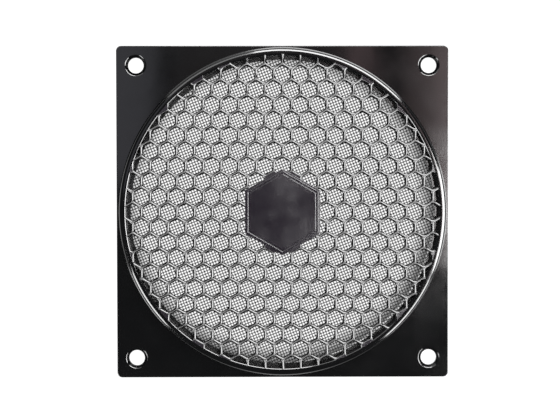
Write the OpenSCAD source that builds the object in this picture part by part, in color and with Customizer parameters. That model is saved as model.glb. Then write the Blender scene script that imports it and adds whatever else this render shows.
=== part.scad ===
// Honeycomb guard for a 120 mm cooling fan, with a woven dust filter clipped into its back.
// The fan side of the flange lies on z = 0 and the grille faces +Z. The axis of the fan is Z.

/* [Flange] */
// Side of the square flange
flange_side = 119; // [117:0.5:122]
// Thickness of the flange
flange_t = 2.2; // [2:0.1:3]
// Radius of the flange's four corners
corner_r = 1.8; // [0.5:0.1:4]
// Rounding of the flange's front edges
edge_r = 0.5; // [0.2:0.1:1]

/* [Screw holes] */
// Distance from a screw hole's axis to the two nearest sides of the flange
hole_inset = 7; // [6.5:0.1:8]
// Diameter of a screw hole
hole_d = 5.6; // [4:0.1:6]
// Diameter of the countersink at the front face
sink_d = 7.4; // [6.5:0.1:8]
// Depth of the countersink
sink_depth = 1; // [0.5:0.1:1.5]

/* [Rim] */
// Width of the flange left outside the rim at the middle of a side
rim_margin = 0.5; // [0.3:0.1:2]
// Width of the raised rim round the opening
rim_w = 3.1; // [2.8:0.1:3.6]
// Height of the rim's top above the fan side, level with the tops of the ribs
rim_h = 5.75; // [5:0.05:7]
// Radius of the rim's outer shoulder
shoulder_r = 1.9; // [0.5:0.1:2]
// Width and depth of the chamfer on the rim's inner edge
inner_chamfer = 0.4; // [0.2:0.1:0.6]

/* [Honeycomb] */
// Distance between the centres of neighbouring openings
cell_pitch = 6.3; // [5:0.1:9]
// Width of a rib between two openings
rib_w = 1.25; // [0.8:0.05:1.6]
// Depth of the ribs along the fan's axis
rib_depth = 2; // [1.5:0.1:3]

/* [Badge] */
// Width of the hexagonal badge across its flats
badge_af = 26.8; // [20:0.1:34]
// Height of the badge's plate above the ribs
plate_rise = 0.25; // [0.1:0.05:0.6]
// Distance from the badge's edge to its raised plate
plate_inset = 0.9; // [0.6:0.1:2]
// Width of the plate's border outside its channel
border_w = 0.3; // [0.2:0.1:1]
// Width of the channel between the border and the plain field
channel_w = 0.8; // [0.4:0.1:1.2]

/* [Filter ring] */
// Width of the ring from its edge to its opening
ring_w = 2.65; // [2.4:0.05:3.6]
// Thickness of the ring, which is also the depth of its seat
ring_t = 1.6; // [1.4:0.1:1.8]
// Width of the ledge in the flange that stops the ring
ledge_w = 1.6; // [1:0.1:1.7]
// Radial clearance between the ring and its seat
ring_clearance = 0.2; // [0.1:0.05:0.3]
// Radius of the snap beads on the ring's edge
bead_r = 0.45; // [0.3:0.05:0.5]
// How far the snap beads stand out of the ring's edge
bead_out = 0.3; // [0.2:0.05:0.4]
// Clearance between the snap beads and their groove
bead_clearance = 0.15; // [0.1:0.05:0.25]
// Number of snap beads
bead_count = 6; // [3:1:8]
// Angle that each snap bead spans
bead_angle = 12; // [6:1:30]
// Width of the notch for lifting the ring out
notch_w = 6; // [4:0.5:10]
// Depth of the notch from the ring's edge
notch_depth = 1.2; // [0.6:0.1:1.3]
// Height of the notch from the ring's fan side
notch_h = 0.7; // [0.4:0.1:0.7]

/* [Filter mesh] */
// Height of the mesh's fan side above the ring's fan side
mesh_z = 0.75; // [0.4:0.05:0.8]
// Thickness of the mesh's middle layer
mesh_t = 0.12; // [0.1:0.01:0.2]
// Height of the ridges that the threads make on each face
thread_h = 0.1; // [0.05:0.01:0.15]
// Width of a thread ridge
thread_w = 0.6; // [0.3:0.05:1]
// Distance between neighbouring thread ridges
thread_pitch = 2.7; // [2:0.05:4]
// Thread ridges from one open gap to the next
gap_step = 4; // [4:1:6]
// Angle of the weave to the flange's sides
weave_angle = 21; // [0:1:45]
// How deep the mesh's edge is held in the ring
mesh_grip = 1.5; // [0.8:0.1:2]
// Clearance round the mesh's edge in the ring
mesh_clearance = 0.05; // [0.02:0.01:0.1]

/* [Hidden] */
round_fn = 96;
hole_spacing = flange_side - 2 * hole_inset;
rim_r = flange_side / 2 - rim_margin;
opening_r = rim_r - rim_w;
rib_top = rim_h;
rib_bottom = rib_top - rib_depth;
row_pitch = cell_pitch * sqrt(3) / 2;
cell_af = cell_pitch - rib_w;
// The honeycomb runs a little into the rim, so that the two are one moulding.
rim_bite = rim_w / 4;
// An opening is made where its centre lies within this radius, so that enough of it shows.
cell_limit_r = opening_r + cell_pitch / 3;
// No opening is made where less than half a rib's width of it would show beside the badge.
badge_limit = (badge_af - cell_af + rib_w) / 2;
rows = ceil(opening_r / row_pitch) + 1;
columns = ceil(opening_r / cell_pitch) + 1;
plate_af = badge_af - 2 * plate_inset;
channel_af = plate_af - 2 * border_w;
field_af = channel_af - 2 * channel_w;
seat_r = opening_r + ledge_w;
ring_r = seat_r - ring_clearance;
ring_bore_r = ring_r - ring_w;
bead_z = ring_t / 2;
bead_centre_r = ring_r + bead_out - bead_r;
groove_r = bead_r + bead_clearance;
mesh_total_t = mesh_t + 2 * thread_h;
mesh_seat_r = ring_bore_r + mesh_grip;
mesh_r = mesh_seat_r - mesh_clearance;
thread_count = ceil(mesh_r / thread_pitch);
gap_w = thread_pitch - thread_w;
gap_limit_r = ring_bore_r - gap_w;
gap_span = floor(thread_count / gap_step);
// Cutting tools run this far past the faces that they cut.
cut_past = 1;

// A hexagon with a corner on +Y, sized across its flats.
module hexagon(af) {
    rotate(30) circle(r = af / sqrt(3), $fn = 6);
}

// A square with rounded corners, centred on the axis.
module rounded_square(side, r) {
    inner = side - 2 * r;
    square([side, inner], center = true);
    square([inner, side], center = true);
    for (x = [-1, 1], y = [-1, 1]) {
        translate([x * inner / 2, y * inner / 2]) circle(r = r, $fn = round_fn);
    }
}

// The side view of the flange: a bar whose two upper edges are rounded.
module flange_side_view() {
    inner = flange_side - 2 * edge_r;
    translate([-flange_side / 2, 0]) square([flange_side, flange_t - edge_r]);
    translate([-inner / 2, 0]) square([inner, flange_t]);
    for (x = [-1, 1]) {
        translate([x * inner / 2, flange_t - edge_r]) circle(r = edge_r, $fn = round_fn);
    }
}

// A bar as long as the flange is wide, with the flange's side view for its section.
module flange_bar() {
    rotate([90, 0, 0])
        linear_extrude(flange_side + 2 * cut_past, center = true) flange_side_view();
}

module flange() {
    intersection() {
        linear_extrude(flange_t) rounded_square(flange_side, corner_r);
        flange_bar();
        rotate(90) flange_bar();
    }
}

// The rim's section: a wall with a round outer shoulder and a chamfer on its inner edge.
module rim_section() {
    difference() {
        union() {
            translate([opening_r, 0]) square([rim_w, rim_h - shoulder_r]);
            translate([opening_r, 0]) square([rim_w - shoulder_r, rim_h]);
            translate([rim_r - shoulder_r, rim_h - shoulder_r])
                circle(r = shoulder_r, $fn = round_fn);
        }
        polygon([
            [opening_r, rim_h - inner_chamfer],
            [opening_r + inner_chamfer, rim_h],
            [opening_r, rim_h]
        ]);
    }
}

module rim() {
    rotate_extrude($fn = round_fn) rim_section();
}

// How far out a point lies, measured square to the nearest side of the badge.
function badge_distance(x, y) = max(abs(x), abs(x) / 2 + abs(y) * sqrt(3) / 2);

module honeycomb() {
    translate([0, 0, rib_bottom]) linear_extrude(rib_depth) difference() {
        circle(r = opening_r + rim_bite, $fn = round_fn);
        for (row = [-rows : rows], column = [-columns : columns]) {
            x = (column + (row % 2 == 0 ? 0.5 : 0)) * cell_pitch;
            y = row * row_pitch;
            if (norm([x, y]) < cell_limit_r && badge_distance(x, y) > badge_limit) {
                translate([x, y]) hexagon(cell_af);
            }
        }
    }
}

// A plain stepped hexagon: a base, and a raised plate with a channel round its flat field.
module badge() {
    translate([0, 0, rib_bottom]) linear_extrude(rib_depth) hexagon(badge_af);
    translate([0, 0, rib_top]) linear_extrude(plate_rise) {
        difference() {
            hexagon(plate_af);
            hexagon(channel_af);
        }
        hexagon(field_af);
    }
}

module screw_holes() {
    for (x = [-1, 1], y = [-1, 1]) {
        translate([x * hole_spacing / 2, y * hole_spacing / 2, 0]) {
            translate([0, 0, -cut_past])
                cylinder(d = hole_d, h = flange_t + 2 * cut_past, $fn = round_fn);
            translate([0, 0, flange_t - sink_depth])
                cylinder(d1 = hole_d, d2 = sink_d, h = sink_depth, $fn = round_fn);
        }
    }
}

// The seat for the filter ring in the fan side, with the groove for its snap beads.
module ring_seat() {
    translate([0, 0, -cut_past])
        cylinder(r = seat_r, h = ring_t + cut_past, $fn = round_fn);
    rotate_extrude($fn = round_fn)
        translate([bead_centre_r, bead_z]) circle(r = groove_r, $fn = round_fn);
}

module grille_frame() {
    color("#1b1b1d") {
        difference() {
            union() {
                difference() {
                    flange();
                    translate([0, 0, -cut_past])
                        cylinder(r = opening_r, h = flange_t + 2 * cut_past, $fn = round_fn);
                }
                rim();
            }
            ring_seat();
            screw_holes();
        }
        honeycomb();
        badge();
    }
}

module snap_beads() {
    for (i = [0 : bead_count - 1]) {
        rotate((i + 0.5) * 360 / bead_count - bead_angle / 2)
            rotate_extrude(angle = bead_angle, $fn = round_fn)
                translate([bead_centre_r, bead_z]) circle(r = bead_r, $fn = round_fn);
    }
}

module filter_ring() {
    color("#1b1b1d") difference() {
        union() {
            linear_extrude(ring_t) difference() {
                circle(r = ring_r, $fn = round_fn);
                circle(r = ring_bore_r, $fn = round_fn);
            }
            snap_beads();
        }
        translate([0, 0, mesh_z])
            cylinder(r = mesh_seat_r, h = mesh_total_t, $fn = round_fn);
        translate([-notch_w / 2, -ring_r - cut_past, -cut_past])
            cube([notch_w, notch_depth + cut_past, notch_h + cut_past]);
    }
}

// The threads of one direction, as ridges clipped to the mesh's outline.
module thread_ridges() {
    intersection() {
        circle(r = mesh_r, $fn = round_fn);
        for (i = [-thread_count : thread_count]) {
            translate([i * thread_pitch, 0]) square([thread_w, 2 * mesh_r], center = true);
        }
    }
}

// A few of the gaps between the threads, spread over the whole mesh.
module mesh_gaps() {
    for (i = [-gap_span : gap_span], j = [-gap_span : gap_span]) {
        x = (i * gap_step + 0.5) * thread_pitch;
        y = (j * gap_step + 0.5) * thread_pitch;
        if (norm([x, y]) < gap_limit_r) {
            translate([x, y]) square(gap_w, center = true);
        }
    }
}

module filter_mesh() {
    color("#2a2a2d") translate([0, 0, mesh_z]) rotate(weave_angle) {
        linear_extrude(thread_h) rotate(90) thread_ridges();
        translate([0, 0, thread_h]) linear_extrude(mesh_t) difference() {
            circle(r = mesh_r, $fn = round_fn);
            mesh_gaps();
        }
        translate([0, 0, thread_h + mesh_t]) linear_extrude(thread_h) thread_ridges();
    }
}

grille_frame();
filter_ring();
filter_mesh();
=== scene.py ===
"""Honeycomb fan guard: the finished pieces, their materials, and a plain studio."""

import math

import bmesh
import bpy
from mathutils import Matrix, Vector


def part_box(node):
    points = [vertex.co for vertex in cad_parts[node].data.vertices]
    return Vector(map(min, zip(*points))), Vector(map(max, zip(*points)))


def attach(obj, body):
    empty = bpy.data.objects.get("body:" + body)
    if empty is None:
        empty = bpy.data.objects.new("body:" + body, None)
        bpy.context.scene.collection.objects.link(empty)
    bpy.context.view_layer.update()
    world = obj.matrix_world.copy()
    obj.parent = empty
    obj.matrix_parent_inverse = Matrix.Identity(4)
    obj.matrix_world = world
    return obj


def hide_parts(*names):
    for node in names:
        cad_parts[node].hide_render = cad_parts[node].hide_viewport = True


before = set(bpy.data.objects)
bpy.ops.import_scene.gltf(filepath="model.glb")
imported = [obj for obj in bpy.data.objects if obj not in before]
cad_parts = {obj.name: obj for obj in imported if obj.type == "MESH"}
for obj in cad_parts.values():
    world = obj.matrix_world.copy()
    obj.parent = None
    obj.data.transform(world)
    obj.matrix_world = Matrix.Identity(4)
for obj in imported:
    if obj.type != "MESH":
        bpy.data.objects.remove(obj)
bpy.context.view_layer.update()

MM = 0.001
# Points closer than this are the same point.
TOUCH = 0.001 * MM
MERGE = 0.0001 * MM
ROUND_STEPS = 256
HOLE_STEPS = 64
# Metres: the floor, how far off the upright panels stand, and the height that they start at.
# Below that height they would show in the gloss in low views.
FLOOR_SIDE = 3.0
PANEL_AWAY = 0.45
PANEL_BOTTOM = 0.2
FRAME_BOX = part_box("grille_frame")
RING_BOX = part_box("filter_ring")
MESH_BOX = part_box("filter_mesh")

bl_info = {
    "name": "Honeycomb Fan Guard",
    "version": (1, 0, 0),
    "blender": (4, 5, 0),
    "location": "View3D > Sidebar > Fan Guard",
    "description": "Builds a moulded honeycomb fan guard with its woven dust filter",
    "category": "Add Mesh",
}


def length(name, description, default_mm):
    return bpy.props.FloatProperty(
        name=name, description=description, default=default_mm * MM,
        min=0, precision=5, unit="LENGTH",
    )


def number(name, description, default, low=0.0, high=1.0):
    return bpy.props.FloatProperty(
        name=name, description=description, default=default, min=low, max=high,
    )


def hex_colour(name, description, default):
    return bpy.props.StringProperty(name=name, description=description, default=default)


class GuardMoulding(bpy.types.PropertyGroup):
    """Sizes of the black moulding: flange, rim, honeycomb and badge."""

    side: length("Side", "Side of the square flange", (FRAME_BOX[1][0] - FRAME_BOX[0][0]) / MM)
    flange_t: length("Flange thickness", "Thickness of the flange", 2.2)
    corner_r: length("Corner radius", "Radius of the flange's corners", 1.8)
    edge_r: length("Edge radius", "Rounding of the flange's front edges", 0.2)
    back_edge_r: length("Back edge radius", "Rounding of the flange's back edges", 0.15)
    hole_spacing: length("Hole spacing", "Distance between the screw holes", 105)
    hole_r: length("Hole radius", "Radius of a screw hole", 2.8)
    sink_r: length("Countersink radius", "Radius of the countersink at the face", 3.7)
    sink_depth: length("Countersink depth", "Depth of the countersink", 1.0)
    sink_roll: length("Countersink lip", "Radius of the rolled lip of the countersink", 0.4)
    opening_r: length("Opening radius", "Radius of the round opening", 55.9)
    rim_r: length("Rim radius", "Outer radius of the raised rim", 59.0)
    rim_h: length("Rim height", "Height of the rim above the fan side", FRAME_BOX[1][2] / MM - 0.25)
    shoulder_r: length("Shoulder radius", "Radius of the rim's outer shoulder", 1.2)
    wall_draft: length("Wall draft", "How far the rim's outer wall leans in at its shoulder", 0.55)
    inner_edge_r: length("Inner edge radius", "Rounding of the rim's inner edge", 0.45)
    rib_top: length("Rib top", "Height of the rib tops above the fan side", 5.74)
    rib_bottom: length("Rib bottom", "Height of the rib undersides above the fan side", 3.75)
    seat_r: length("Seat radius", "Radius of the filter ring's seat", 57.5)
    seat_depth: length("Seat depth", "Depth of the filter ring's seat", RING_BOX[1][2] / MM)
    join_r: length("Joint radius", "Where the rim meets the flange", 58.4)
    cell_pitch: length("Cell pitch", "Distance between the openings' centres", 6.3)
    rib_w: length("Rib width", "Width of a rib", 1.25)
    cell_corner: length("Cell corner", "Radius of an opening's corners", 0.95)
    rib_round: length("Rib rounding", "Radius of the ribs' upper edges", 0.5)
    badge_af: length("Badge width", "Width of the badge across its flats", 26.8)
    plate_rise: length("Plate rise", "Height of the badge's plate above the rim's top", 0.25)
    plate_inset: length("Plate inset", "From the badge's edge to its raised plate", 0.9)
    border_w: length("Border width", "Width of the plate's border outside its channel", 0.3)
    channel_w: length("Channel width", "Width of the channel round the badge's field", 0.8)


class GuardFilter(bpy.types.PropertyGroup):
    """Sizes of the woven filter."""

    disc_r: length("Disc radius", "Radius of the woven disc", 56.1)
    # The real threads lie about 0.7 mm apart, which is too fine to show from here, so
    # the weave is drawn as coarse as it needs to be to show as threads and openings.
    thread_pitch: length("Thread pitch", "Distance between neighbouring threads", 1.0)
    thread_r: length("Thread radius", "Radius of one thread", 0.15)
    weave_angle: bpy.props.FloatProperty(
        name="Weave angle", description="Turn of the weave against the flange's sides",
        default=math.radians(21), unit="ROTATION",
    )


class GuardFinish(bpy.types.PropertyGroup):
    """Colours and finishes."""

    abs_hex: hex_colour("ABS colour", "Colour of the glossy moulding", "#111112")
    abs_roughness: number("ABS roughness", "Roughness of the glossy moulding", 0.08)
    rib_hex: hex_colour("Rib colour", "Colour of the ribs", "#121112")
    rib_roughness: number("Rib roughness", "Roughness of the ribs' sides", 0.09)
    crown_roughness: number("Crown roughness", "Roughness of the ribs' flat crowns", 0.56)
    badge_hex: hex_colour("Badge colour", "Colour of the satin badge", "#251e28")
    badge_roughness: number("Badge roughness", "Roughness of the satin badge", 0.17)
    ring_hex: hex_colour("Ring colour", "Colour of the filter's ring", "#191919")
    ring_roughness: number("Ring roughness", "Roughness of the filter's ring", 0.2)
    nylon_hex: hex_colour("Nylon colour", "Colour of the filter's threads", "#161617")
    nylon_roughness: number("Nylon roughness", "Roughness of the filter's threads", 0.25)


class GuardStage(bpy.types.PropertyGroup):
    """The floor, the lamps and the camera."""

    floor_hex: hex_colour("Floor colour", "Colour of the floor", "#f2f2f2")
    floor_glow: number("Floor glow", "Strength of the white that camera and gloss see", 1.25, 0, 5)
    floor_shade: number("Floor shade", "How much of the guard's shadow shows on that white", 0.2)
    # A painted shadow: how much of the white behind the mesh is left beside the rim.
    painted_rim_shadow: number("Rim shade", "How much of that white is left beside the rim", 0.15)
    camera_h: length("Camera height", "Height of the camera above the ground", 500)
    camera_lens: number("Camera lens", "Focal length of the camera in millimetres", 89.2, 1, 500)
    world_strength: number("World strength", "Strength of the even light from all round", 0.9, 0, 5)
    dark_strength: number("Dark strength", "What gloss mirrors where there is no lamp", 0.05, 0, 5)
    key_strength: number("Key strength", "Strength of the tall panel on the right", 1.0, 0, 50)
    back_strength: number("Back strength", "Strength of the two panels at the back", 1.0, 0, 50)
    front_strength: number("Front strength", "Strength of the two panels in front", 1.0, 0, 50)
    ceiling_strength: number("Ceiling strength", "Strength of the dim patches overhead", 1.0, 0, 50)


SETTINGS = {
    "guard_moulding": GuardMoulding,
    "guard_filter": GuardFilter,
    "guard_finish": GuardFinish,
    "guard_stage": GuardStage,
}


# ---- colours, nodes and small mesh helpers ----


def linear(hex_text):
    """An sRGB hex value as linear RGBA."""
    values = [int(hex_text[i:i + 2], 16) / 255 for i in (1, 3, 5)]
    return [v / 12.92 if v <= 0.04045 else ((v + 0.055) / 1.055) ** 2.4 for v in values] + [1.0]


def add_node(tree, kind, settings=None, **links):
    """Adds a node. settings go to its properties, or to its sockets by name or number.

    An output among them is linked, and so are the links, which are SOCKET=output.
    """
    node = tree.nodes.new(kind)
    for key, value in (settings or {}).items():
        if isinstance(value, bpy.types.NodeSocket):
            tree.links.new(value, node.inputs[key])
        elif isinstance(key, str) and hasattr(node, key):
            setattr(node, key, value)
        else:
            node.inputs[key].default_value = value
    for key, output in links.items():
        tree.links.new(output, node.inputs[key.replace("_", " ")])
    return node


def new_material(name):
    material = bpy.data.materials.new(name)
    material.use_nodes = True
    material.node_tree.nodes.clear()
    return material, material.node_tree


def new_object(name, bm, material):
    """A piece from a bmesh, with its place in its mesh."""
    mesh = bpy.data.meshes.new(name)
    bm.to_mesh(mesh)
    bm.free()
    mesh.materials.append(material)
    piece = bpy.data.objects.new(name, mesh)
    bpy.context.collection.objects.link(piece)
    return piece


def smooth(bm, angle_deg):
    """Smooth faces, with the edges sharper than the angle kept sharp."""
    limit = math.radians(angle_deg)
    for face in bm.faces:
        face.smooth = True
    for edge in bm.edges:
        edge.smooth = len(edge.link_faces) != 2 or edge.calc_face_angle(0.0) < limit


def height_of(edge):
    """How far an edge's ends differ in height."""
    return abs(edge.verts[0].co.z - edge.verts[1].co.z)


def new_verts(grown):
    """The vertices among what an operator made."""
    return [g for g in grown if isinstance(g, bmesh.types.BMVert)]


def new_faces(grown):
    """The faces among what an operator made."""
    return [g for g in grown if isinstance(g, bmesh.types.BMFace)]


def turned(bm, angle, axis):
    """Turns everything about the origin."""
    bmesh.ops.rotate(bm, cent=(0, 0, 0), matrix=Matrix.Rotation(angle, 3, axis), verts=bm.verts)


def mesh_of(name, bm):
    """The bmesh as a mesh, for use as a stamp."""
    mesh = bpy.data.meshes.new(name)
    bm.to_mesh(mesh)
    bm.free()
    return mesh


def stamp(bm, mesh, x, y):
    """Adds a copy of the mesh at a place."""
    mesh.transform(Matrix.Translation((x, y, 0)))
    bm.from_mesh(mesh)
    mesh.transform(Matrix.Translation((-x, -y, 0)))


def apply_modifiers(piece):
    """Turns the piece's modifiers into its mesh."""
    graph = bpy.context.evaluated_depsgraph_get()
    done = bpy.data.meshes.new_from_object(piece.evaluated_get(graph), depsgraph=graph)
    piece.modifiers.clear()
    old = piece.data
    piece.data = done
    bpy.data.meshes.remove(old)


def arc(centre, radius, start_deg, end_deg, steps):
    """Points of an arc in the plane of radius and height."""
    points = []
    for i in range(steps + 1):
        a = math.radians(start_deg + (end_deg - start_deg) * i / steps)
        points.append((centre[0] + radius * math.cos(a), centre[1] + radius * math.sin(a)))
    return points


def spin_section(bm, section, steps, closed=True):
    """Turns a section, a list of (radius, height), round Z."""
    verts = [bm.verts.new((r, 0, z)) for r, z in section]
    ends = zip(verts, verts[1:] + (verts[:1] if closed else []))
    edges = [bm.edges.new(pair) for pair in ends]
    bmesh.ops.spin(
        bm, geom=verts + edges, cent=(0, 0, 0), axis=(0, 0, 1), dvec=(0, 0, 0),
        angle=math.tau, steps=steps, use_merge=True,
    )
    bmesh.ops.recalc_face_normals(bm, faces=bm.faces)


def hexagon_radius(across_flats):
    return across_flats / math.sqrt(3)


def hexagon_points(across_flats, height):
    """The corners of a flat hexagon with a corner on +Y, counted as seen from above."""
    radius = hexagon_radius(across_flats)
    turns = [math.radians(30 + 60 * i) for i in range(6)]
    return [(radius * math.cos(a), radius * math.sin(a), height) for a in turns]


def hexagon(bm, across_flats, height):
    """A flat hexagon with a corner on +Y, facing up, and its face."""
    bmesh.ops.create_circle(bm, cap_ends=True, segments=6, radius=hexagon_radius(across_flats),
                            matrix=Matrix.Translation((0, 0, height)))
    if min(abs(v.co.x) for v in bm.verts) > TOUCH:
        turned(bm, math.radians(30), "Z")
    bm.faces.ensure_lookup_table()
    bm.normal_update()
    if bm.faces[0].normal.z < 0:
        bmesh.ops.reverse_faces(bm, faces=bm.faces)
    return bm.faces[0]


def bevel(bm, edges, offset, segments):
    bmesh.ops.bevel(
        bm, geom=edges, offset=offset, offset_type="OFFSET", affect="EDGES",
        segments=segments, profile=0.5, material=-1,
    )


# ---- materials ----


def moulded_relief(tree, waves_mm, wave_height, grain_mm, grain_height):
    """Bump of a moulded face: slow sink waves under a fine grain."""
    place = add_node(tree, "ShaderNodeTexCoord")
    waves = add_node(tree, "ShaderNodeTexNoise", {"Scale": 1 / (waves_mm * MM), "Detail": 2.0},
                     Vector=place.outputs["Object"])
    slow = add_node(tree, "ShaderNodeBump", {"Strength": 1.0, "Distance": wave_height * MM},
                    Height=waves.outputs["Fac"])
    grain = add_node(tree, "ShaderNodeTexNoise", {"Scale": 1 / (grain_mm * MM), "Detail": 3.0},
                     Vector=place.outputs["Object"])
    return add_node(tree, "ShaderNodeBump", {"Strength": 1.0, "Distance": grain_height * MM},
                    Height=grain.outputs["Fac"], Normal=slow.outputs["Normal"])


def varied(tree, low, high, size_mm):
    """A value that wanders between two limits over the surface."""
    place = add_node(tree, "ShaderNodeTexCoord")
    cloud = add_node(tree, "ShaderNodeTexNoise", {"Scale": 1 / (size_mm * MM), "Detail": 4.0},
                     Vector=place.outputs["Object"])
    spread = add_node(tree, "ShaderNodeMapRange", {"From Min": 0.3, "From Max": 0.7,
                                                   "To Min": low, "To Max": high},
                      Value=cloud.outputs["Fac"])
    return spread.outputs["Result"]


def duller_on_top(tree, rough, top_rough):
    """The given roughness, and another where the surface lies nearly level."""
    # The cosines of 15 and 7 degrees away from level.
    sloping, level = 0.965, 0.992
    place = add_node(tree, "ShaderNodeNewGeometry")
    lie = add_node(tree, "ShaderNodeSeparateXYZ", Vector=place.outputs["Normal"])
    spread = add_node(tree, "ShaderNodeMapRange",
                      {"From Min": sloping, "From Max": level, "To Max": top_rough},
                      Value=lie.outputs["Z"], To_Min=rough)
    return spread.outputs["Result"]


def plastic(name, colour, roughness, spread, waves, grain, top=None, ior=1.53):
    """Moulded plastic: waves and grain are each (size, height) in millimetres."""
    least, patch_mm = 0.02, 9
    material, tree = new_material(name)
    relief = moulded_relief(tree, *waves, *grain)
    rough = varied(tree, max(roughness - spread, least), roughness + spread, patch_mm)
    if top is not None:
        rough = duller_on_top(tree, rough, top)
    shader = add_node(tree, "ShaderNodeBsdfPrincipled", {"Base Color": linear(colour), "IOR": ior},
                      Roughness=rough, Normal=relief.outputs["Normal"])
    add_node(tree, "ShaderNodeOutputMaterial", Surface=shader.outputs["BSDF"])
    return material


def finish(slot):
    """The material of a slot, made once."""
    if slot in bpy.data.materials:
        return bpy.data.materials[slot]
    look = bpy.context.scene.guard_finish
    if slot == "glossy_abs":
        # Glossy injection-moulded ABS: dark and wet-looking, with slow sink waves in it.
        return plastic(slot, look.abs_hex, look.abs_roughness, 0.02, (14, 0.02), (0.5, 0.0012))
    if slot == "satin_abs":
        # ABS off a spark-eroded mould face: a soft, dull sheen with a fine even grain.
        return plastic(slot, look.badge_hex, look.badge_roughness, 0.05, (8, 0.01), (0.25, 0.008))
    if slot == "rib_abs":
        # Wiping the dust off dulls the ribs' crowns, while their sides keep the mould's gloss.
        return plastic(slot, look.rib_hex, look.rib_roughness, 0.03, (14, 0.01), (0.4, 0.001),
                       top=look.crown_roughness)
    if slot == "ring_abs":
        # The ring is the same plastic off a plainer mould, so it is duller than the front.
        return plastic(slot, look.ring_hex, look.ring_roughness, 0.05, (10, 0.01), (0.3, 0.005))
    # Nylon monofilament, drawn smooth: each thread carries a thin line of light. The index
    # is below nylon's own, because threads drawn this thick would carry too much of it.
    return plastic(slot, look.nylon_hex, look.nylon_roughness, 0.05, (6, 0.002), (0.4, 0.001),
                   ior=1.35)


# ---- pieces ----


class GUARD_OT_flange(bpy.types.Operator):
    """The square plate with its four countersunk holes and its round opening"""

    bl_idname = "guard.flange"
    bl_label = "Flange"

    def plate(self, size):
        bm = bmesh.new()
        bmesh.ops.create_cube(bm, size=1.0)
        bmesh.ops.scale(bm, vec=(size.side, size.side, size.flange_t), verts=bm.verts)
        bmesh.ops.translate(bm, vec=(0, 0, size.flange_t / 2), verts=bm.verts)
        upright = [e for e in bm.edges if height_of(e) > size.flange_t / 2]
        bevel(bm, upright, size.corner_r, 8)
        for height, radius in ((size.flange_t, size.edge_r), (0.0, size.back_edge_r)):
            around = [e for e in bm.edges if all(abs(v.co.z - height) < TOUCH for v in e.verts)]
            bevel(bm, around, radius, 4)
        return bm

    def cutters(self, size):
        """What is cut out of the plate: the opening and the four screw holes."""
        past, top = 1 * MM, size.flange_t
        bm = bmesh.new()
        section = [(0, -past), (size.join_r, -past), (size.join_r, top + past), (0, top + past)]
        spin_section(bm, section, ROUND_STEPS, closed=False)
        bmesh.ops.remove_doubles(bm, verts=bm.verts, dist=MERGE)
        roll = size.sink_roll
        lean = math.atan2(size.sink_depth, size.sink_r - size.hole_r)
        lip_centre = (size.sink_r + roll * math.tan(lean / 2), top - roll)
        lip = arc(lip_centre, roll, 90 + math.degrees(lean), 90, 5)
        section = [(0, -past), (size.hole_r, -past), (size.hole_r, top - size.sink_depth)]
        section += lip + [(lip[-1][0], top + past), (0, top + past)]
        hole = bmesh.new()
        spin_section(hole, section, HOLE_STEPS, closed=False)
        bmesh.ops.remove_doubles(hole, verts=hole.verts, dist=MERGE)
        one = mesh_of("one_hole", hole)
        half = size.hole_spacing / 2
        for x in (-half, half):
            for y in (-half, half):
                stamp(bm, one, x, y)
        bpy.data.meshes.remove(one)
        bmesh.ops.recalc_face_normals(bm, faces=bm.faces)
        return bm

    def execute(self, context):
        size = context.scene.guard_moulding
        piece = new_object("flange", self.plate(size), finish("glossy_abs"))
        tool = new_object("flange_cutters", self.cutters(size), finish("glossy_abs"))
        cut = piece.modifiers.new("cut", "BOOLEAN")
        cut.operation = "DIFFERENCE"
        cut.solver = "EXACT"
        cut.object = tool
        apply_modifiers(piece)
        bpy.data.objects.remove(tool)
        bm = bmesh.new()
        bm.from_mesh(piece.data)
        smooth(bm, 35)
        bm.to_mesh(piece.data)
        bm.free()
        even = piece.modifiers.new("even", "WEIGHTED_NORMAL")
        even.keep_sharp = True
        even.weight = 100
        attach(piece, "root")
        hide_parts("grille_frame")
        return {"FINISHED"}


class GUARD_OT_rim(bpy.types.Operator):
    """The raised round rim, with the seat for the filter ring in its back"""

    bl_idname = "guard.rim"
    bl_label = "Rim"

    def section(self, size):
        """The rim's section: from its inner edge over the shoulder, into the flange and back."""
        join = size.join_r
        # The foot reaches this far into the flange, so that no gap shows.
        buried = 0.3 * MM
        shoulder = (size.rim_r - size.wall_draft - size.shoulder_r, size.rim_h - size.shoulder_r)
        lip = (size.opening_r + size.inner_edge_r, size.rim_h - size.inner_edge_r)
        inner = [(size.opening_r, size.seat_depth)] + arc(lip, size.inner_edge_r, 180, 90, 8)
        lean = math.degrees(math.atan2(size.wall_draft, shoulder[1] - size.flange_t))
        outer = arc(shoulder, size.shoulder_r, 90, lean, 14)
        foot = [(size.rim_r, size.flange_t - buried), (join + buried, size.flange_t - buried),
                (join + buried, buried), (join, 0),
                (size.seat_r, 0), (size.seat_r, size.seat_depth)]
        return inner + outer + foot

    def execute(self, context):
        size = context.scene.guard_moulding
        bm = bmesh.new()
        spin_section(bm, self.section(size), ROUND_STEPS)
        smooth(bm, 40)
        piece = new_object("rim", bm, finish("glossy_abs"))
        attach(piece, "root")
        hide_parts("grille_frame")
        return {"FINISHED"}


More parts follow.
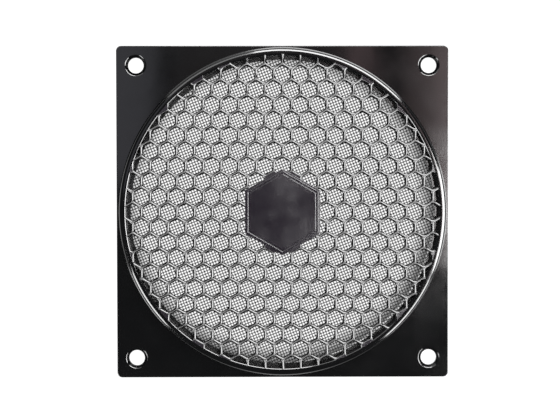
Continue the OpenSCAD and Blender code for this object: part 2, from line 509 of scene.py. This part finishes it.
class GUARD_OT_honeycomb(bpy.types.Operator):
    """The ribs between the hexagonal openings, round on top and at the corners"""

    bl_idname = "guard.honeycomb"
    bl_label = "Honeycomb"

    def tile(self, size):
        """One opening with half of each rib round it."""
        bm = bmesh.new()
        top, bottom = size.rib_top, size.rib_bottom
        mouth = hexagon(bm, size.cell_pitch, top)
        bmesh.ops.inset_individual(bm, faces=[mouth], thickness=size.rib_w / 2)
        band = [f for f in bm.faces if f is not mouth]
        under = new_faces(bmesh.ops.duplicate(bm, geom=band)["geom"])
        lowered = list({v for f in under for v in f.verts})
        bmesh.ops.translate(bm, vec=(0, 0, bottom - top), verts=lowered)
        bmesh.ops.reverse_faces(bm, faces=under)
        grown = bmesh.ops.extrude_face_region(bm, geom=[mouth])["geom"]
        bmesh.ops.translate(bm, vec=(0, 0, bottom - top), verts=new_verts(grown))
        bmesh.ops.delete(bm, geom=new_faces(grown), context="FACES_ONLY")
        if mouth.is_valid:
            bmesh.ops.delete(bm, geom=[mouth], context="FACES_ONLY")
        bmesh.ops.remove_doubles(bm, verts=bm.verts, dist=MERGE)
        walls = [e for e in bm.edges if height_of(e) > size.rib_w]
        bevel(bm, walls, size.cell_corner * math.tan(math.radians(30)), 3)
        # The rounded brim is the sharp edges on top, without the tile's own outer edges.
        sharp = 0.5
        inner = hexagon_radius(size.cell_pitch) * 0.999
        brim = [e for e in bm.edges if all(v.co.z > top - TOUCH for v in e.verts)
                and len(e.link_faces) == 2 and e.calc_face_angle(0.0) > sharp
                and max(v.co.xy.length for v in e.verts) < inner]
        bevel(bm, brim, size.rib_round, 4)
        return mesh_of("tile", bm)

    def blank(self, size):
        """The same patch without its opening."""
        bm = bmesh.new()
        hexagon(bm, size.cell_pitch, size.rib_top)
        under = hexagon_points(size.cell_pitch, size.rib_bottom)
        bm.faces.new([bm.verts.new(point) for point in reversed(under)])
        for face in bm.faces:
            face.material_index = 1
        return mesh_of("blank", bm)

    def tiled(self, size):
        """Tiles over the whole opening, with a patch for each opening that stays closed."""
        tile, blank = self.tile(size), self.blank(size)
        bm = bmesh.new()
        row_pitch = size.cell_pitch * math.sqrt(3) / 2
        keep_r = size.opening_r + size.cell_pitch / 3
        rows = int(size.opening_r / row_pitch) + 2
        columns = int(size.opening_r / size.cell_pitch) + 2
        # An opening that would show little more than its ribs beside the badge stays closed.
        badge_limit = (size.badge_af - size.cell_pitch + 2 * size.rib_w) / 2
        hidden = size.badge_af / 2 - size.cell_pitch / 2 - size.rib_w
        for row in range(-rows, rows + 1):
            for column in range(-columns, columns + 1):
                x = (column + (0.5 if row % 2 == 0 else 0)) * size.cell_pitch
                y = row * row_pitch
                out, beside = math.hypot(x, y), self.hex_distance(x, y)
                if out > keep_r + size.cell_pitch / 2 or beside < hidden:
                    continue
                stamp(bm, tile if out < keep_r and beside > badge_limit else blank, x, y)
        bpy.data.meshes.remove(tile)
        bpy.data.meshes.remove(blank)
        bmesh.ops.remove_doubles(bm, verts=bm.verts, dist=2 * TOUCH)
        return bm

    def trim(self, bm, radius):
        """Cuts the ribs off at a radius by many planes, each of which sees its own side only."""
        planes, near_share = 72, 0.93
        for i in range(planes):
            a = math.tau * i / planes
            out = Vector((math.cos(a), math.sin(a), 0))
            near = [f for f in bm.faces if out.dot(f.calc_center_median()) > radius * near_share]
            edges = list({e for f in near for e in f.edges})
            verts = list({v for f in near for v in f.verts})
            bmesh.ops.bisect_plane(bm, geom=near + edges + verts, plane_co=out * radius,
                                   plane_no=out, clear_outer=True)

    def execute(self, context):
        size = context.scene.guard_moulding
        bm = self.tiled(size)
        # The ribs end inside the rim, past its rounded inner edge.
        into_rim = 0.4 * MM
        self.trim(bm, size.opening_r + size.inner_edge_r + into_rim)
        smooth(bm, 50)
        piece = new_object("honeycomb", bm, finish("rib_abs"))
        piece.data.materials.append(finish("satin_abs"))
        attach(piece, "root")
        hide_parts("grille_frame")
        return {"FINISHED"}

    def hex_distance(self, x, y):
        """Distance from the axis as a hexagon with a corner on +Y measures it."""
        return max(abs(x), abs(x) / 2 + abs(y) * math.sqrt(3) / 2)


class GUARD_OT_badge(bpy.types.Operator):
    """The plain stepped hexagon in the middle of the honeycomb"""

    bl_idname = "guard.badge"
    bl_label = "Badge"

    def execute(self, context):
        size = context.scene.guard_moulding
        corner_r, brim_r, step_r = 0.5 * MM, 0.15 * MM, 0.06 * MM
        # The badge stands a little clear of the faces of the ribs, above and below.
        bottom = size.rib_bottom + 0.05 * MM
        top = size.rim_h + 0.01 * MM
        bm = bmesh.new()
        hexagon(bm, size.badge_af, bottom)
        grown = bmesh.ops.extrude_face_region(bm, geom=list(bm.faces))["geom"]
        bmesh.ops.translate(bm, vec=(0, 0, top - bottom), verts=new_verts(grown))
        bmesh.ops.recalc_face_normals(bm, faces=bm.faces)
        field = max(bm.faces, key=lambda f: f.calc_center_median().z)
        # From the edge inwards: the shelf, the plate's border, its channel and its field.
        slope = 0.12 * MM
        rise = size.rim_h + size.plate_rise - top
        for thickness, depth in ((size.plate_inset - slope, 0), (slope, rise),
                                 (size.border_w, 0), (slope, -rise),
                                 (size.channel_w - 2 * slope, 0), (slope, rise)):
            bmesh.ops.inset_individual(bm, faces=[field], thickness=thickness, depth=depth)
        corners = [e for e in bm.edges if height_of(e) > (top - bottom) / 2]
        bevel(bm, corners, corner_r, 4)
        brim = [e for e in bm.edges if all(abs(v.co.z - top) < TOUCH for v in e.verts)
                and len(e.link_faces) == 2 and e.calc_face_angle(0.0) > 1.2]
        bevel(bm, brim, brim_r, 3)
        steps = [e for e in bm.edges if len(e.link_faces) == 2
                 and 0.8 < e.calc_face_angle(0.0) < 1.4
                 and min(v.co.z for v in e.verts) > top - TOUCH]
        bevel(bm, steps, step_r, 2)
        smooth(bm, 50)
        piece = new_object("badge", bm, finish("satin_abs"))
        even = piece.modifiers.new("even", "WEIGHTED_NORMAL")
        even.keep_sharp = True
        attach(piece, "root")
        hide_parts("grille_frame")
        return {"FINISHED"}


class GUARD_OT_filter(bpy.types.Operator):
    """The woven disc, thread by thread, and the finish of its ring"""

    bl_idname = "guard.filter"
    bl_label = "Filter"

    def thread(self, size):
        """One wavy thread along X, longer than the disc is wide, over at even crossings."""
        bm = bmesh.new()
        crossings = int(size.disc_r / size.thread_pitch) + 2
        start = -crossings * size.thread_pitch
        bmesh.ops.create_circle(bm, segments=4, radius=size.thread_r)
        turned(bm, math.radians(90), "Y")
        bmesh.ops.translate(bm, vec=(start, 0, size.thread_r), verts=bm.verts)
        ring = list(bm.edges)
        for i in range(2 * crossings):
            grown = bmesh.ops.extrude_edge_only(bm, edges=ring)["geom"]
            down = -2 * size.thread_r if i % 2 == 0 else 2 * size.thread_r
            bmesh.ops.translate(bm, vec=(size.thread_pitch, 0, down), verts=new_verts(grown))
            ring = [g for g in grown if isinstance(g, bmesh.types.BMEdge)]
        bmesh.ops.recalc_face_normals(bm, faces=bm.faces)
        return mesh_of("thread", bm)

    def threads(self, name, size, turn, first):
        """All the threads of one direction, each as long as the disc is wide there."""
        strand = self.thread(size)
        whole = bmesh.new()
        half = int(size.disc_r / size.thread_pitch)
        for i in range(-half, half + 1):
            y = i * size.thread_pitch
            reach = math.sqrt(max(size.disc_r ** 2 - y ** 2, 0))
            if reach < size.thread_pitch:
                continue
            bm = bmesh.new()
            bm.from_mesh(strand)
            shift = size.thread_pitch if (i + first) % 2 else 0.0
            bmesh.ops.translate(bm, vec=(shift, y, 0), verts=bm.verts)
            for side in (-1, 1):
                bmesh.ops.bisect_plane(bm, geom=list(bm.verts) + list(bm.edges) + list(bm.faces),
                                       plane_co=(side * reach, 0, 0), plane_no=(side, 0, 0),
                                       clear_outer=True)
            cut = mesh_of("cut", bm)
            whole.from_mesh(cut)
            bpy.data.meshes.remove(cut)
        bpy.data.meshes.remove(strand)
        middle = (MESH_BOX[0][2] + MESH_BOX[1][2]) / 2
        turned(whole, turn, "Z")
        bmesh.ops.translate(whole, vec=(0, 0, middle), verts=whole.verts)
        for face in whole.faces:
            face.smooth = True
        return new_object(name, whole, finish("nylon"))

    def execute(self, context):
        size = context.scene.guard_filter
        angle = size.weave_angle
        weft = self.threads("mesh_weft", size, angle, 0)
        warp = self.threads("mesh_warp", size, angle + math.pi / 2, 1)
        for piece in (weft, warp):
            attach(piece, "root")
            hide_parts("filter_mesh")
        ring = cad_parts["filter_ring"]
        ring.data.materials.clear()
        ring.data.materials.append(finish("ring_abs"))
        return {"FINISHED"}


# ---- stage ----


class GUARD_OT_stage(bpy.types.Operator):
    """Floor, lamps, world and camera"""

    bl_idname = "guard.stage"
    bl_label = "Stage"

    def floor_material(self, stage):
        """Pale paper, which the camera and gloss see as white with a faint shadow. Behind the mesh
        the camera sees a painted shadow on it beside the rim.
        """
        material, tree = new_material("paper")
        paper = add_node(tree, "ShaderNodeBsdfDiffuse", {"Color": linear(stage.floor_hex)})
        # Behind the mesh a painted shadow dims the white near the rim, most at the right and the
        # front.
        lean = 1.5 * MM
        painted_shadow_from, painted_shadow_to = 6.2 * MM, 0.4 * MM
        rim = bpy.context.scene.guard_moulding.opening_r
        place = add_node(tree, "ShaderNodeTexCoord")
        side = add_node(tree, "ShaderNodeVectorMath",
                        {"operation": "ADD", 0: place.outputs["Object"], 1: (lean, -lean, 0)})
        out = add_node(tree, "ShaderNodeVectorMath", {"operation": "LENGTH"},
                       Vector=side.outputs["Vector"])
        # The painted shadow: the glow's strength falls towards the rim.
        painted_shadow = add_node(tree, "ShaderNodeMapRange",
                          {"From Min": rim - painted_shadow_from, "From Max": rim - painted_shadow_to,
                           "To Min": stage.floor_glow,
                           "To Max": stage.floor_glow * stage.painted_rim_shadow},
                          Value=out.outputs["Value"])
        outside = add_node(tree, "ShaderNodeMapRange",
                           {"From Min": rim, "From Max": rim + 1 * MM, "To Max": 1.0},
                           Value=out.outputs["Value"])
        strength = add_node(tree, "ShaderNodeMapRange", {"To Max": stage.floor_glow},
                            Value=outside.outputs["Result"], To_Min=painted_shadow.outputs["Result"])
        glow = add_node(tree, "ShaderNodeEmission", Strength=strength.outputs["Result"])
        white = add_node(tree, "ShaderNodeMixShader", {
            "Fac": stage.floor_shade, 1: glow.outputs["Emission"], 2: paper.outputs["BSDF"]})
        # The camera sees that white everywhere, and gloss and glass see it outside the rim.
        path = add_node(tree, "ShaderNodeLightPath")
        mirrored = add_node(tree, "ShaderNodeMath", {
            "operation": "MAXIMUM",
            0: path.outputs["Is Glossy Ray"], 1: path.outputs["Is Transmission Ray"]})
        mirrored_outside = add_node(tree, "ShaderNodeMath", {
            "operation": "MULTIPLY", 0: mirrored.outputs["Value"], 1: outside.outputs["Result"]})
        seen = add_node(tree, "ShaderNodeMath", {
            "operation": "MAXIMUM",
            0: path.outputs["Is Camera Ray"], 1: mirrored_outside.outputs["Value"]})
        mix = add_node(tree, "ShaderNodeMixShader", {
            1: paper.outputs["BSDF"], 2: white.outputs["Shader"]}, Fac=seen.outputs["Value"])
        # From below the floor is clear, so that the guard's back can be looked at.
        facing = add_node(tree, "ShaderNodeNewGeometry")
        clear = add_node(tree, "ShaderNodeBsdfTransparent")
        one_way = add_node(tree, "ShaderNodeMixShader", {
            1: mix.outputs["Shader"], 2: clear.outputs["BSDF"]}, Fac=facing.outputs["Backfacing"])
        add_node(tree, "ShaderNodeOutputMaterial", Surface=one_way.outputs["Shader"])
        return material

    def world(self, stage):
        """Even light all round, of which gloss mirrors little, as in a darkened room."""
        world = bpy.data.worlds.new("studio")
        world.use_nodes = True
        tree = world.node_tree
        tree.nodes.clear()
        path = add_node(tree, "ShaderNodeLightPath")
        strength = add_node(tree, "ShaderNodeMapRange",
                            {"To Min": stage.world_strength, "To Max": stage.dark_strength},
                            Value=path.outputs["Is Glossy Ray"])
        back = add_node(tree, "ShaderNodeBackground", {"Color": linear("#f4f6f8")},
                        Strength=strength.outputs["Result"])
        add_node(tree, "ShaderNodeOutputWorld", Surface=back.outputs["Background"])
        return world

    def lamp(self, name, width, height, radiance):
        """A flat lamp of an even radiance, which faces straight down."""
        data = bpy.data.lights.new(name, "AREA")
        data.shape = "RECTANGLE"
        data.size = width
        data.size_y = height
        data.energy = radiance * math.pi * width * height
        lamp = bpy.data.objects.new(name, data)
        # Black gloss needs bright lamps to show white. They stay out of the diffuse light,
        # which comes from the world at a plain level.
        lamp.visible_diffuse = False
        bpy.context.collection.objects.link(lamp)
        return lamp

    def panel(self, name, turn, top, width, radiance):
        """An upright panel that faces the guard's axis: turn is its direction in degrees."""
        away, bottom = PANEL_AWAY, PANEL_BOTTOM
        lamp = self.lamp(name, width, top - bottom, radiance)
        turn = math.radians(turn)
        lamp.location = (away * math.cos(turn), away * math.sin(turn), (bottom + top) / 2)
        lamp.rotation_euler = (math.pi / 2, 0, turn + math.pi / 2)

    def ceiling(self, name, place, width, depth, radiance, colour):
        """A level patch above the guard."""
        lamp = self.lamp(name, width, depth, radiance)
        lamp.location = place
        lamp.data.color = linear(colour)[:3]

    def camera(self, scene, stage):
        """Looks straight down, but for a degree or so."""
        place = (-4.28 * MM, 13.17 * MM, stage.camera_h)
        tilt_deg = (-1.44, -0.389, -0.107)
        data = bpy.data.cameras.new("camera")
        data.lens = stage.camera_lens
        data.sensor_width = 36.0
        camera = bpy.data.objects.new("camera", data)
        camera.location = place
        camera.rotation_euler = [math.radians(angle) for angle in tilt_deg]
        bpy.context.collection.objects.link(camera)
        scene.camera = camera

    def execute(self, context):
        stage = context.scene.guard_stage
        bm = bmesh.new()
        bmesh.ops.create_grid(bm, x_segments=1, y_segments=1, size=FLOOR_SIDE / 2)
        floor = new_object("floor", bm, self.floor_material(stage))

        key, back, front = stage.key_strength, stage.back_strength, stage.front_strength
        self.panel("key_panel", -5, 2.75, 0.3, 27 * key)
        self.panel("back_right_panel", 71, 1.45, 0.5, 23 * back)
        self.panel("back_left_panel", 118, 1.45, 0.29, 3.5 * back)
        self.panel("front_left_panel", 215, 1.3, 0.175, 18 * front)
        self.panel("front_right_panel", 321.5, 1.2, 0.2, 19 * front)
        # Dim patches of ceiling, which only the flat faces mirror.
        over = stage.ceiling_strength
        self.ceiling("ceiling_left", (-0.22, 0.125, 1.2), 0.15, 0.25, 0.75 * over, "#f2f2ff")
        self.ceiling("ceiling_back", (-0.02, 0.17, 1.2), 0.2, 0.18, 0.17 * over, "#fff0f2")
        self.ceiling("ceiling_spot", (0.105, 0.16, 1.19), 0.03, 0.07, 1.2 * over, "#ffd8dc")
        self.ceiling("ceiling_right", (0.21, 0.08, 1.2), 0.1, 0.36, 0.6 * over, "#ffe0e0")
        self.ceiling("ceiling_edge", (0.22, 0.06, 1.18), 0.05, 0.26, 1.4 * over, "#ffe8ea")

        context.scene.world = self.world(stage)
        context.scene.view_settings.view_transform = "Standard"
        self.camera(context.scene, stage)
        return {"FINISHED"}


class GUARD_PT_panel(bpy.types.Panel):
    """Lists the guard's pieces"""

    bl_label = "Fan Guard"
    bl_idname = "GUARD_PT_panel"
    bl_space_type = "VIEW_3D"
    bl_region_type = "UI"
    bl_category = "Fan Guard"

    def draw(self, context):
        for operator in OPERATORS:
            self.layout.operator(operator.bl_idname)
        for name, group in SETTINGS.items():
            box = self.layout.box()
            for prop in group.__annotations__:
                box.prop(getattr(context.scene, name), prop)


OPERATORS = (
    GUARD_OT_stage,
    GUARD_OT_flange,
    GUARD_OT_rim,
    GUARD_OT_honeycomb,
    GUARD_OT_badge,
    GUARD_OT_filter,
)
CLASSES = (*SETTINGS.values(), *OPERATORS, GUARD_PT_panel)


def register():
    for cls in CLASSES:
        bpy.utils.register_class(cls)
    for name, group in SETTINGS.items():
        setattr(bpy.types.Scene, name, bpy.props.PointerProperty(type=group))


def unregister():
    for name in SETTINGS:
        delattr(bpy.types.Scene, name)
    for cls in reversed(CLASSES):
        bpy.utils.unregister_class(cls)


def main():
    register()
    bpy.ops.guard.stage()
    bpy.ops.guard.flange()
    bpy.ops.guard.rim()
    bpy.ops.guard.honeycomb()
    bpy.ops.guard.badge()
    bpy.ops.guard.filter()


if __name__ == "__main__":
    main()
